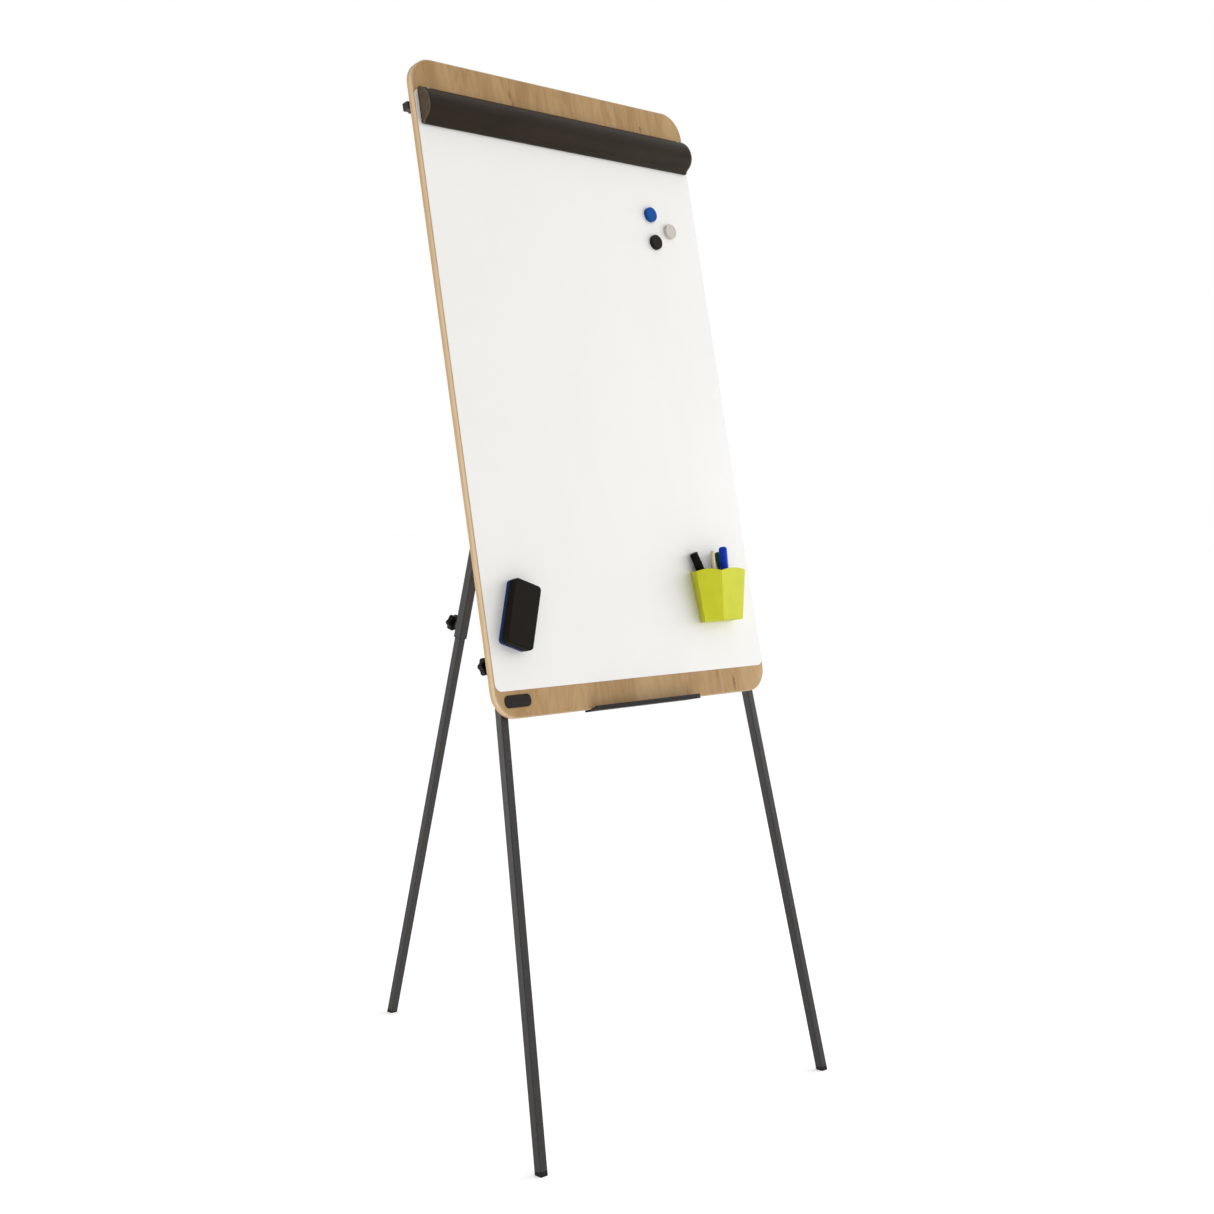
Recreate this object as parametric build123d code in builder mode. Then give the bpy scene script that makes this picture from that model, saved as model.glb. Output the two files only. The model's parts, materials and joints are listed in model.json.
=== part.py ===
"""Flipchart easel: a leaning whiteboard panel on two splayed front legs and a folding rear leg.

Each leg is a square outer tube with a square inner tube sliding in it, held by a star knob.
A hinged clamp bar holds the paper pad, two side arms slide out of a tube behind the board,
and a pen cup, an eraser and three round magnets hold to the steel face by their magnets.

World frame: X across the board, -Y in front of it, +Z up, origin on the floor in the middle.
Board frame: u across the board, v up its face from the lower edge, w out of its face.
"""

import os
from math import cos, radians, sin, sqrt

from build123d import *

os.makedirs("parts", exist_ok=True)

# ---- Driving dimensions, in millimetres and degrees ----

LEAN = 11.75                       # how far the board leans back
BOARD_WIDTH = 700
BOARD_HEIGHT = 1190
BOARD_DEPTH = 16
BOARD_CORNER = 48
BOARD_FOOT_Y = -316.7              # lower front edge of the board
BOARD_FOOT_Z = 736.4
EDGING = 2                         # thickness of the band round the board's edge

SHEET_LOW = 48                     # the white steel sheet, measured up the board
SHEET_HIGH = 1130
SHEET_INSET = 1
SHEET_CORNER = 14
SHEET_DEPTH = 0.8
ON_SHEET = 1.0                     # where the loose things start, a hair off the sheet

OUTER_TUBE = 20
INNER_TUBE = 16
TUBE_WALL = 1.2
SLIDE_GAP = 0.05                   # clearance on each side of every sliding fit
OVERLAP = 110                      # inner tube left inside the outer one at full height
KNOB_ABOVE_SLEEVE = 21

LEG_FROM_MIDDLE = 321.3            # front leg axis, at the board's lower edge
LEG_SPLAY = 3.72
FRONT_SLEEVE = 76.5                # lower end of a front outer tube, along the leg
FRONT_TOP = 1078
FRONT_FOOT = -748.4                # where a front leg's axis meets the floor

HINGE_UP = 1072.2                  # rear leg hinge, on the board's middle line
HINGE_BACK = 39.2
REAR_FOOT_Y = 443.3
REAR_SLEEVE = -986.2               # lower end of the rear outer tube, along the leg

ARM = 15
GUIDE_TUBE = 18
ARM_UP = 1103.5
ARM_OUT_END = 350
ARM_IN_END = 20
GUIDE_END = 340

PLATE = 1.5                        # sheet metal of the saddles, bracket and tray
SCREW_SHANK = 3.5
SCREW_HEAD = 7
SCREW_HEAD_DEPTH = 2.2
SCREW_GRIP = 10                    # screw length inside the board

CLAMP_PIVOT_V = 1125.5
CLAMP_PIVOT_W = 7
CLAMP_BEAD = 5.6                   # radius of the bar's hinge bead
CLAMP_CROWN_V = 1094
CLAMP_CROWN_W = 28
CLAMP_LIP_V = 1063
CLAMP_BACK_W = 1.4
CLAMP_WALL = 2.2
CLAMP_HALF = 342
CLAMP_CAP = 3
PIN_RADIUS = 1.5

MAGNET_RADIUS = 15
MAGNET_DEPTH = 7

CUP_U = 232.8
CUP_V = 139.9
CUP_HEIGHT = 94.8
CUP_WALL = 2.2

MARKER_RADIUS = 7.5
CAP_RADIUS = 8.25
CAP_LENGTH = 47

# ---- Frames ----

lean = radians(LEAN)
splay = radians(LEG_SPLAY)
ACROSS = Vector(1, 0, 0)
UP_BOARD = Vector(0, sin(lean), cos(lean))
OUT = Vector(0, -cos(lean), sin(lean))


def board_point(u, v, w=0):
    """World position of a place in the board frame."""
    return Vector(0, BOARD_FOOT_Y, BOARD_FOOT_Z) + ACROSS * u + UP_BOARD * v + OUT * w


BOARD = Plane(origin=board_point(0, 0), x_dir=ACROSS, z_dir=OUT)
BACK = -BOARD_DEPTH
FRONT_TUBE_W = BACK - OUTER_TUBE / 2
GUIDE_W = BACK - GUIDE_TUBE / 2


def across_board(u):
    """Plane across the board's width: x up the board, y out of its face."""
    return Plane(origin=board_point(u, 0), x_dir=UP_BOARD, z_dir=ACROSS)


def level_on_board(u, v):
    """Plane at one height of the board: x across, y into the board."""
    return Plane(origin=board_point(u, v), x_dir=ACROSS, z_dir=UP_BOARD)


def front_leg(side, distance):
    """Frame on a front leg's axis: x across it, y away from the board, z up the leg."""
    along = ACROSS * (-side * sin(splay)) + UP_BOARD * cos(splay)
    sideways = ACROSS * cos(splay) + UP_BOARD * (side * sin(splay))
    start = board_point(side * LEG_FROM_MIDDLE, 0, FRONT_TUBE_W)
    return Plane(origin=start + along * distance, x_dir=sideways, z_dir=along)


def left_leg(distance):
    return front_leg(-1, distance)


def right_leg(distance):
    return front_leg(1, distance)


HINGE = board_point(0, HINGE_UP, -HINGE_BACK)
REAR_ALONG = (HINGE - Vector(0, REAR_FOOT_Y, 0)).normalized()
REAR_LENGTH = (HINGE - Vector(0, REAR_FOOT_Y, 0)).length
REAR_SIDE = Plane(origin=HINGE, x_dir=REAR_ALONG.cross(ACROSS), z_dir=ACROSS)


def rear_leg(distance):
    """Frame on the rear leg's axis, measured from its hinge, laid out like a front leg's."""
    return Plane(origin=HINGE + REAR_ALONG * distance, x_dir=ACROSS, z_dir=REAR_ALONG)


LEGS = {
    "left": (left_leg, FRONT_SLEEVE, FRONT_FOOT),
    "right": (right_leg, FRONT_SLEEVE, FRONT_FOOT),
    "rear": (rear_leg, REAR_SLEEVE, -REAR_LENGTH),
}

# ---- Fastener positions, as (u, v) on the board ----

SADDLE_FOOT = 14
SADDLE_WIDTH = 25
LEG_SADDLES = [250, 1000]          # distances up each front leg
GUIDE_SADDLES = [-300, -120, 120, 300]
BRACKET_HALF = 30
BRACKET_LOW = 1046
BRACKET_HIGH = 1090
TRAY_HALF = 132
TRAY_SCREW_UP = 15


def leg_screws(side):
    """Screw positions beside the saddles of one front leg."""
    reach = OUTER_TUBE / 2 + PLATE + SADDLE_FOOT / 2
    places = []
    for distance in LEG_SADDLES:
        for across in (-reach, reach):
            u = side * (LEG_FROM_MIDDLE - distance * sin(splay)) + across * cos(splay)
            v = distance * cos(splay) + side * across * sin(splay)
            places.append((u, v))
    return places


guide_reach = GUIDE_TUBE / 2 + PLATE + SADDLE_FOOT / 2
guide_screws = [(u, ARM_UP + step) for u in GUIDE_SADDLES for step in (-guide_reach, guide_reach)]
bracket_screws = [(u, v) for u in (-22, 22) for v in (1053, 1083)]
tray_screws = [(u, TRAY_SCREW_UP) for u in (-100, 0, 100)]
rear_screws = leg_screws(-1) + leg_screws(1) + guide_screws + bracket_screws + tray_screws
rail_screws = [(u, 1099) for u in (-300, -230, -40, 40, 230, 300)]

# ---- Board ----

PANEL_MIDDLE = BOARD_HEIGHT / 2

with BuildPart() as board_panel:
    with BuildSketch(BOARD):
        with Locations((0, PANEL_MIDDLE)):
            RectangleRounded(BOARD_WIDTH - 2 * EDGING, BOARD_HEIGHT - 2 * EDGING, BOARD_CORNER - EDGING)
    extrude(amount=-BOARD_DEPTH)
    with BuildSketch(BOARD.offset(BACK)):
        with Locations(*rear_screws):
            Circle(SCREW_SHANK / 2)
    extrude(amount=SCREW_GRIP, mode=Mode.SUBTRACT)
    with BuildSketch(BOARD):
        with Locations(*rail_screws):
            Circle(SCREW_SHANK / 2)
    extrude(amount=-SCREW_GRIP, mode=Mode.SUBTRACT)
board_panel.part.label = "board_panel"
export_step(board_panel.part, "parts/board_panel.step")

with BuildPart() as board_edging:
    with BuildSketch(BOARD):
        with Locations((0, PANEL_MIDDLE)):
            RectangleRounded(BOARD_WIDTH, BOARD_HEIGHT, BOARD_CORNER)
    extrude(amount=-BOARD_DEPTH)
    rims = [face for face in board_edging.faces() if abs(face.normal_at().dot(OUT)) > 0.99]
    fillet([edge for face in rims for edge in face.edges()], radius=1)
    with BuildSketch(BOARD):
        with Locations((0, PANEL_MIDDLE)):
            RectangleRounded(BOARD_WIDTH - 2 * EDGING, BOARD_HEIGHT - 2 * EDGING, BOARD_CORNER - EDGING)
    extrude(amount=-BOARD_DEPTH, mode=Mode.SUBTRACT)
board_edging.part.label = "board_edging"
export_step(board_edging.part, "parts/board_edging.step")

with BuildPart() as whiteboard_sheet:
    with BuildSketch(BOARD):
        with Locations((0, (SHEET_LOW + SHEET_HIGH) / 2)):
            RectangleRounded(BOARD_WIDTH - 2 * SHEET_INSET, SHEET_HIGH - SHEET_LOW, SHEET_CORNER)
        with Locations(*rail_screws):
            Circle(SCREW_SHANK / 2, mode=Mode.SUBTRACT)
    extrude(amount=SHEET_DEPTH)
whiteboard_sheet.part.label = "whiteboard_sheet"
export_step(whiteboard_sheet.part, "parts/whiteboard_sheet.step")

with BuildPart() as name_badge:
    with BuildSketch(BOARD):
        with Locations((-302.3, 29.6)):
            RectangleRounded(60, 22, 9)
    extrude(amount=1.5)
    fillet(name_badge.faces().sort_by(Axis(BOARD.origin, OUT))[-1].edges(), radius=0.5)
name_badge.part.label = "name_badge"
export_step(name_badge.part, "parts/name_badge.step")

# ---- Pen tray: one folded strip under the board's lower edge, screwed to its back ----

TRAY_UNDER = -3.5
TRAY_LIP_W = 20
TRAY_LIP_V = 5
TRAY_FLANGE_V = 25

with BuildPart() as pen_tray:
    with BuildSketch(across_board(-TRAY_HALF)):
        with BuildLine():
            Polyline(
                (TRAY_LIP_V, TRAY_LIP_W),
                (TRAY_UNDER, TRAY_LIP_W),
                (TRAY_UNDER, BACK - PLATE),
                (TRAY_FLANGE_V, BACK - PLATE),
                (TRAY_FLANGE_V, BACK),
                (TRAY_UNDER + PLATE, BACK),
                (TRAY_UNDER + PLATE, TRAY_LIP_W - PLATE),
                (TRAY_LIP_V, TRAY_LIP_W - PLATE),
                close=True,
            )
        make_face()
    extrude(amount=2 * TRAY_HALF)
    bends = pen_tray.edges().filter_by(Axis.X).group_by(Axis(BOARD.origin, UP_BOARD))[0]
    fillet(bends, radius=1.4)
    with BuildSketch(BOARD.offset(BACK)):
        with Locations(*tray_screws):
            Circle(SCREW_SHANK / 2)
    extrude(amount=-2 * PLATE, mode=Mode.SUBTRACT)
pen_tray.part.label = "pen_tray"
export_step(pen_tray.part, "parts/pen_tray.step")

with BuildPart() as pen_tray_end_caps:
    for start in (-TRAY_HALF - 2.5, TRAY_HALF):
        with BuildSketch(across_board(start)):
            with BuildLine():
                Polyline(
                    (TRAY_UNDER, 0.5),
                    (TRAY_UNDER, TRAY_LIP_W),
                    (TRAY_LIP_V, TRAY_LIP_W),
                    (TRAY_LIP_V, TRAY_LIP_W - 4),
                    (0.6, 0.5),
                    close=True,
                )
            make_face()
        extrude(amount=2.5)
pen_tray_end_caps.part.label = "pen_tray_end_caps"
export_step(pen_tray_end_caps.part, "parts/pen_tray_end_caps.step")

# ---- Clamp rail: a slotted channel screwed through the sheet, with a hinge ear at each end ----

RAIL_LOW = 1085
RAIL_HIGH = 1113
RAIL_MIDDLE = (RAIL_LOW + RAIL_HIGH) / 2
RAIL_TOP_W = 7.3
RAIL_FLOOR_W = 2.1
RAIL_WALL = 1.5
RAIL_SLOT = 12
EAR_START = 322
EAR_DEPTH = 4
EAR_HEAD = 5.2

with BuildPart() as clamp_base_rail:
    with BuildSketch(across_board(-EAR_START)):
        with Locations((RAIL_MIDDLE, (SHEET_DEPTH + RAIL_TOP_W) / 2)):
            Rectangle(RAIL_HIGH - RAIL_LOW, RAIL_TOP_W - SHEET_DEPTH)
        with Locations((RAIL_MIDDLE, (RAIL_FLOOR_W + RAIL_TOP_W - RAIL_WALL) / 2)):
            Rectangle(
                RAIL_HIGH - RAIL_LOW - 2 * RAIL_WALL,
                RAIL_TOP_W - RAIL_WALL - RAIL_FLOOR_W,
                mode=Mode.SUBTRACT,
            )
        with Locations((RAIL_MIDDLE, RAIL_TOP_W)):
            Rectangle(RAIL_SLOT, 2 * RAIL_WALL + 0.2, mode=Mode.SUBTRACT)
    extrude(amount=2 * EAR_START)
    with BuildSketch(BOARD.offset(SHEET_DEPTH)):
        with Locations(*rail_screws):
            Circle(SCREW_SHANK / 2)
    extrude(amount=RAIL_FLOOR_W, mode=Mode.SUBTRACT)
    for start in (-EAR_START - EAR_DEPTH, EAR_START):
        with BuildSketch(across_board(start)):
            with BuildLine():
                Polyline(
                    (RAIL_LOW + 5, SHEET_DEPTH),
                    (1118, SHEET_DEPTH),
                    (CLAMP_PIVOT_V, CLAMP_PIVOT_W - EAR_HEAD),
                    (CLAMP_PIVOT_V, CLAMP_PIVOT_W + EAR_HEAD),
                    (1112, CLAMP_PIVOT_W + EAR_HEAD),
                    (RAIL_LOW + 5, RAIL_TOP_W),
                    close=True,
                )
            make_face()
            with Locations((CLAMP_PIVOT_V, CLAMP_PIVOT_W)):
                Circle(EAR_HEAD)
                Circle(PIN_RADIUS + SLIDE_GAP, mode=Mode.SUBTRACT)
        extrude(amount=EAR_DEPTH)
clamp_base_rail.part.label = "clamp_base_rail"
export_step(clamp_base_rail.part, "parts/clamp_base_rail.step")


def screw_heads_and_shanks(seat, places, head_way, length):
    """Pan-head screws standing on one seat plane; head_way is +1 or -1 along its normal."""
    with BuildPart() as screws:
        with BuildSketch(seat):
            with Locations(*places):
                Circle(SCREW_HEAD / 2)
        extrude(amount=head_way * SCREW_HEAD_DEPTH)
        chamfer(screws.faces().sort_by(Axis(BOARD.origin, OUT * head_way))[-len(places):].edges(), length=0.6)
        with BuildSketch(seat):
            with Locations(*places):
                Circle(SCREW_SHANK / 2)
        extrude(amount=-head_way * length)
        with BuildSketch(seat.offset(head_way * SCREW_HEAD_DEPTH)):
            with Locations(*places):
                Rectangle(4, 1)
                Rectangle(1, 4)
        extrude(amount=-head_way * 1.1, mode=Mode.SUBTRACT)
    return screws.part


clamp_rail_screws = screw_heads_and_shanks(BOARD.offset(RAIL_FLOOR_W), rail_screws, 1, RAIL_FLOOR_W + SCREW_GRIP)
clamp_rail_screws.label = "clamp_rail_screws"
export_step(clamp_rail_screws, "parts/clamp_rail_screws.step")

board_screws_rear = screw_heads_and_shanks(BOARD.offset(BACK - PLATE), rear_screws, -1, PLATE + SCREW_GRIP)
board_screws_rear.label = "board_screws_rear"
export_step(board_screws_rear, "parts/board_screws_rear.step")

# ---- Clamp bar: a hollow profile, open towards the board, with a solid hinge bead ----


def crown_radius(v, w):
    """Radius of the arc that is level at the crown of the bar and passes through (v, w)."""
    drop = CLAMP_CROWN_W - w
    return ((v - CLAMP_CROWN_V) ** 2 + drop ** 2) / (2 * drop)


UPPER_RADIUS = crown_radius(CLAMP_PIVOT_V + CLAMP_BEAD, CLAMP_PIVOT_W)
LOWER_V = CLAMP_LIP_V + 7
LOWER_W = 12.5
LOWER_RADIUS = crown_radius(LOWER_V, LOWER_W)


def on_arc(v, radius, inset=0):
    """Height w of the bar's arc of this radius at v, moved in by the inset."""
    return CLAMP_CROWN_W - radius + sqrt((radius - inset) ** 2 - (v - CLAMP_CROWN_V) ** 2)


BEAD_TOP = CLAMP_PIVOT_V + CLAMP_BEAD
CAVITY_TOP = 1118
HALF_DIAGONAL = CLAMP_BEAD * sin(radians(45))


def bar_outline():
    """Closed outline of the bar's section, drawn in the open BuildLine."""
    Line((CLAMP_LIP_V, CLAMP_BACK_W), (CLAMP_PIVOT_V, CLAMP_BACK_W))
    ThreePointArc(
        (CLAMP_PIVOT_V, CLAMP_BACK_W),
        (CLAMP_PIVOT_V + HALF_DIAGONAL, CLAMP_PIVOT_W - HALF_DIAGONAL),
        (BEAD_TOP, CLAMP_PIVOT_W),
    )
    ThreePointArc(
        (BEAD_TOP, CLAMP_PIVOT_W),
        (1114, on_arc(1114, UPPER_RADIUS)),
        (CLAMP_CROWN_V, CLAMP_CROWN_W),
    )
    ThreePointArc(
        (CLAMP_CROWN_V, CLAMP_CROWN_W),
        (1079, on_arc(1079, LOWER_RADIUS)),
        (LOWER_V, LOWER_W),
    )
    ThreePointArc((LOWER_V, LOWER_W), (1067.6, 9.4), (CLAMP_LIP_V + 1, 7.6))
    Polyline((CLAMP_LIP_V + 1, 7.6), (CLAMP_LIP_V, 6.6), (CLAMP_LIP_V, CLAMP_BACK_W))


def cavity_outline(inset):
    """Closed outline of the bar's cavity, from its open back to the front wall."""
    low = CLAMP_LIP_V + inset
    turn = LOWER_V + inset
    top_w = on_arc(CAVITY_TOP, UPPER_RADIUS, inset)
    Polyline(
        (CAVITY_TOP, top_w),
        (CAVITY_TOP, CLAMP_BACK_W),
        (low, CLAMP_BACK_W),
        (low, 8.4 - inset),
        (LOWER_V, 11.2 - inset),
        (turn, on_arc(turn, LOWER_RADIUS, inset)),
    )
    ThreePointArc(
        (turn, on_arc(turn, LOWER_RADIUS, inset)),
        (1081, on_arc(1081, LOWER_RADIUS, inset)),
        (CLAMP_CROWN_V, CLAMP_CROWN_W - inset),
    )
    ThreePointArc(
        (CLAMP_CROWN_V, CLAMP_CROWN_W - inset),
        (1107, on_arc(1107, UPPER_RADIUS, inset)),
        (CAVITY_TOP, top_w),
    )


BAR_HALF = CLAMP_HALF - CLAMP_CAP
SLOT_GAP = 0.3
PIN_START = 314

with BuildPart() as clamp_bar:
    with BuildSketch(across_board(-BAR_HALF)):
        with BuildLine():
            bar_outline()
        make_face()
        with BuildLine():
            cavity_outline(CLAMP_WALL)
        make_face(mode=Mode.SUBTRACT)
    extrude(amount=2 * BAR_HALF)
    for start in (-EAR_START - EAR_DEPTH - SLOT_GAP, EAR_START - SLOT_GAP):
        with BuildSketch(across_board(start)):
            with BuildLine():
                Polyline(
                    (1104, 0),
                    (CLAMP_PIVOT_V, 0),
                    (CLAMP_PIVOT_V, CLAMP_PIVOT_W + CLAMP_BEAD),
                    (1104, CLAMP_PIVOT_W + CLAMP_BEAD),
                    close=True,
                )
            make_face()
            with Locations((CLAMP_PIVOT_V, CLAMP_PIVOT_W)):
                Circle(CLAMP_BEAD + 0.01)
        extrude(amount=EAR_DEPTH + 2 * SLOT_GAP, mode=Mode.SUBTRACT)
    for start in (-BAR_HALF, PIN_START):
        with BuildSketch(across_board(start)):
            with Locations((CLAMP_PIVOT_V, CLAMP_PIVOT_W)):
                Circle(PIN_RADIUS)
        extrude(amount=BAR_HALF - PIN_START, mode=Mode.SUBTRACT)
clamp_bar.part.label = "clamp_bar"
export_step(clamp_bar.part, "parts/clamp_bar.step")

CAP_SPIGOT = 6

with BuildPart() as clamp_end_caps:
    for side in (-1, 1):
        with BuildSketch(across_board(side * BAR_HALF)):
            with BuildLine():
                bar_outline()
            make_face()
        extrude(amount=side * CLAMP_CAP)
        with BuildSketch(across_board(side * BAR_HALF)):
            with BuildLine():
                cavity_outline(CLAMP_WALL)
            make_face()
            with BuildLine():
                cavity_outline(2 * CLAMP_WALL)
            make_face(mode=Mode.SUBTRACT)
        extrude(amount=-side * CAP_SPIGOT)
clamp_end_caps.part.label = "clamp_end_caps"
export_step(clamp_end_caps.part, "parts/clamp_end_caps.step")

with BuildPart() as clamp_hinge_pins:
    for start in (-BAR_HALF, PIN_START):
        with BuildSketch(across_board(start)):
            with Locations((CLAMP_PIVOT_V, CLAMP_PIVOT_W)):
                Circle(PIN_RADIUS)
        extrude(amount=BAR_HALF - PIN_START)
clamp_hinge_pins.part.label = "clamp_hinge_pins"
export_step(clamp_hinge_pins.part, "parts/clamp_hinge_pins.step")

with BuildPart() as clamp_grip_strip:
    with BuildSketch(across_board(-BAR_HALF + CAP_SPIGOT + 1)):
        with Locations((CLAMP_LIP_V + CLAMP_WALL + 2, 3.1)):
            Rectangle(4, 4)
    extrude(amount=2 * (BAR_HALF - CAP_SPIGOT - 1))
clamp_grip_strip.part.label = "clamp_grip_strip"
export_step(clamp_grip_strip.part, "parts/clamp_grip_strip.step")

# ---- Paper pegs: each slides in the rail's slot to suit the pad's holes ----

PEG_AT = 137.5
PEG_HALF = 10
PEG_RADIUS = 3
PEG_TIP_W = 20
PEG_GAP = 0.2

for side, hand in ((-1, "left"), (1, "right")):
    with BuildPart() as paper_peg:
        with BuildSketch(across_board(side * PEG_AT - PEG_HALF)):
            with Locations((RAIL_MIDDLE, (RAIL_FLOOR_W + RAIL_TOP_W - RAIL_WALL) / 2)):
                Rectangle(
                    RAIL_HIGH - RAIL_LOW - 2 * RAIL_WALL - 2 * PEG_GAP,
                    RAIL_TOP_W - RAIL_WALL - RAIL_FLOOR_W - 2 * PEG_GAP,
                )
            with Locations((RAIL_MIDDLE, RAIL_TOP_W - RAIL_WALL)):
                Rectangle(RAIL_SLOT - 2 * PEG_GAP, 2 * RAIL_WALL + 1)
        extrude(amount=2 * PEG_HALF)
        with BuildSketch(BOARD.offset(RAIL_TOP_W)):
            with Locations((side * PEG_AT, RAIL_MIDDLE)):
                Circle(PEG_RADIUS)
        extrude(amount=PEG_TIP_W - RAIL_TOP_W)
        chamfer(paper_peg.faces().sort_by(Axis(BOARD.origin, OUT))[-1].edges(), length=1)
    paper_peg.part.label = f"paper_peg_{hand}"
    export_step(paper_peg.part, f"parts/paper_peg_{hand}.step")

# ---- Side arms: two square tubes that slide out of one guide tube behind the board ----

with BuildPart() as arm_guide_tube:
    with BuildSketch(across_board(-GUIDE_END)):
        with Locations((ARM_UP, GUIDE_W)):
            RectangleRounded(GUIDE_TUBE, GUIDE_TUBE, 2)
            RectangleRounded(ARM + 2 * SLIDE_GAP, ARM + 2 * SLIDE_GAP, 1.4, mode=Mode.SUBTRACT)
    extrude(amount=2 * GUIDE_END)
arm_guide_tube.part.label = "arm_guide_tube"
export_step(arm_guide_tube.part, "parts/arm_guide_tube.step")

ARM_CAP = 3
ARM_CAP_SPIGOT = 12

for side, hand in ((-1, "left"), (1, "right")):
    with BuildPart() as side_arm:
        with BuildSketch(across_board(side * ARM_IN_END)):
            with Locations((ARM_UP, GUIDE_W)):
                RectangleRounded(ARM, ARM, 1.5)
                RectangleRounded(ARM - 2 * TUBE_WALL, ARM - 2 * TUBE_WALL, 0.5, mode=Mode.SUBTRACT)
        extrude(amount=side * (ARM_OUT_END - ARM_IN_END))
    side_arm.part.label = f"side_arm_{hand}"
    export_step(side_arm.part, f"parts/side_arm_{hand}.step")

    with BuildPart() as side_arm_cap:
        with BuildSketch(across_board(side * ARM_OUT_END)):
            with Locations((ARM_UP, GUIDE_W)):
                RectangleRounded(ARM, ARM, 1.5)
        extrude(amount=side * ARM_CAP)
        chamfer(side_arm_cap.faces().sort_by(Axis.X)[-1 if side > 0 else 0].edges(), length=0.8)
        with BuildSketch(across_board(side * ARM_OUT_END)):
            with Locations((ARM_UP, GUIDE_W)):
                RectangleRounded(ARM - 2 * TUBE_WALL, ARM - 2 * TUBE_WALL, 0.5)
        extrude(amount=-side * ARM_CAP_SPIGOT)
    side_arm_cap.part.label = f"side_arm_cap_{hand}"
    export_step(side_arm_cap.part, f"parts/side_arm_cap_{hand}.step")


def saddle_section(tube):
    """Omega-shaped strap round a square tube that lies on the board; x across, y off the board."""
    outer = tube + 2 * PLATE
    with Locations((0, PLATE / 2)):
        Rectangle(outer, tube + PLATE)
    with Locations((0, (PLATE - tube) / 2)):
        Rectangle(outer + 2 * SADDLE_FOOT, PLATE)
    RectangleRounded(tube, tube, 2, mode=Mode.SUBTRACT)
    with Locations((0, -tube / 4)):
        Rectangle(tube, tube / 2, mode=Mode.SUBTRACT)


with BuildPart() as guide_tube_saddles:
    for u in GUIDE_SADDLES:
        across_tube = Plane(
            origin=board_point(u + SADDLE_WIDTH / 2, ARM_UP, GUIDE_W),
            x_dir=UP_BOARD,
            z_dir=-ACROSS,
        )
        with BuildSketch(across_tube):
            saddle_section(GUIDE_TUBE)
        extrude(amount=SADDLE_WIDTH)
    with BuildSketch(BOARD.offset(BACK)):
        with Locations(*guide_screws):
            Circle(SCREW_SHANK / 2)
    extrude(amount=-PLATE, mode=Mode.SUBTRACT)
guide_tube_saddles.part.label = "guide_tube_saddles"
export_step(guide_tube_saddles.part, "parts/guide_tube_saddles.step")

with BuildPart() as front_leg_saddles:
    for side in (-1, 1):
        for distance in LEG_SADDLES:
            with BuildSketch(front_leg(side, distance - SADDLE_WIDTH / 2)):
                saddle_section(OUTER_TUBE)
            extrude(amount=SADDLE_WIDTH)
    with BuildSketch(BOARD.offset(BACK)):
        with Locations(*(leg_screws(-1) + leg_screws(1))):
            Circle(SCREW_SHANK / 2)
    extrude(amount=-PLATE, mode=Mode.SUBTRACT)
front_leg_saddles.part.label = "front_leg_saddles"
export_step(front_leg_saddles.part, "parts/front_leg_saddles.step")

# ---- Legs ----

OUTER_HOLE = OUTER_TUBE - 2 * TUBE_WALL
INNER_HOLE = INNER_TUBE - 2 * TUBE_WALL
STUD_RADIUS = 3
STUD_HOLE = STUD_RADIUS + SLIDE_GAP
NUT_SIDE = 14
NUT_DEPTH = 6
BUSH_LENGTH = 34
BUSH_FLANGE = 2.5
BUSH_HOLE = INNER_TUBE + 2 * SLIDE_GAP
HEAD_BELOW_HINGE = 20


def stud_plane(leg, sleeve, depth):
    """Plane behind a leg at its clamp knob, facing away from the board, depth off the axis."""
    frame = leg(sleeve + KNOB_ABOVE_SLEEVE)
    return Plane(origin=frame.origin + frame.y_dir * depth, x_dir=frame.x_dir, z_dir=frame.y_dir)


def outer_tube(leg, sleeve, top):
    """Square outer tube with the hole for the knob's stud in its rear wall."""
    with BuildPart() as tube:
        with BuildSketch(leg(sleeve)):
            RectangleRounded(OUTER_TUBE, OUTER_TUBE, 2)
            RectangleRounded(OUTER_HOLE, OUTER_HOLE, 0.8, mode=Mode.SUBTRACT)
        extrude(amount=top - sleeve)
        with BuildSketch(stud_plane(leg, sleeve, INNER_TUBE / 2)):
            Circle(STUD_HOLE)
        extrude(amount=OUTER_TUBE / 4, mode=Mode.SUBTRACT)
    return tube.part


def bush(leg, sleeve):
    """Plastic guide bush in the lower end of an outer tube, with a flange under its rim."""
    with BuildPart() as sleeve_bush:
        with BuildSketch(leg(sleeve)):
            RectangleRounded(OUTER_HOLE, OUTER_HOLE, 0.8)
            RectangleRounded(BUSH_HOLE, BUSH_HOLE, 1.5, mode=Mode.SUBTRACT)
        extrude(amount=BUSH_LENGTH)
        with BuildSketch(leg(sleeve)):
            RectangleRounded(OUTER_TUBE, OUTER_TUBE, 2)
            RectangleRounded(BUSH_HOLE, BUSH_HOLE, 1.5, mode=Mode.SUBTRACT)
        extrude(amount=-BUSH_FLANGE)
        with BuildSketch(stud_plane(leg, sleeve, INNER_TUBE / 2)):
            Circle(STUD_HOLE)
        extrude(amount=OUTER_TUBE / 4, mode=Mode.SUBTRACT)
    return sleeve_bush.part


def clamp_nut(leg, sleeve):
    """Threaded block welded on the rear wall of an outer tube."""
    with BuildPart() as nut:
        with BuildSketch(stud_plane(leg, sleeve, OUTER_TUBE / 2)):
            RectangleRounded(NUT_SIDE, NUT_SIDE, 2)
            Circle(STUD_HOLE, mode=Mode.SUBTRACT)
        extrude(amount=NUT_DEPTH)
        chamfer(nut.faces().sort_by(Axis((0, 0, 0), stud_plane(leg, sleeve, 0).z_dir))[-1].edges(), length=0.6)
    return nut.part


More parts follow.
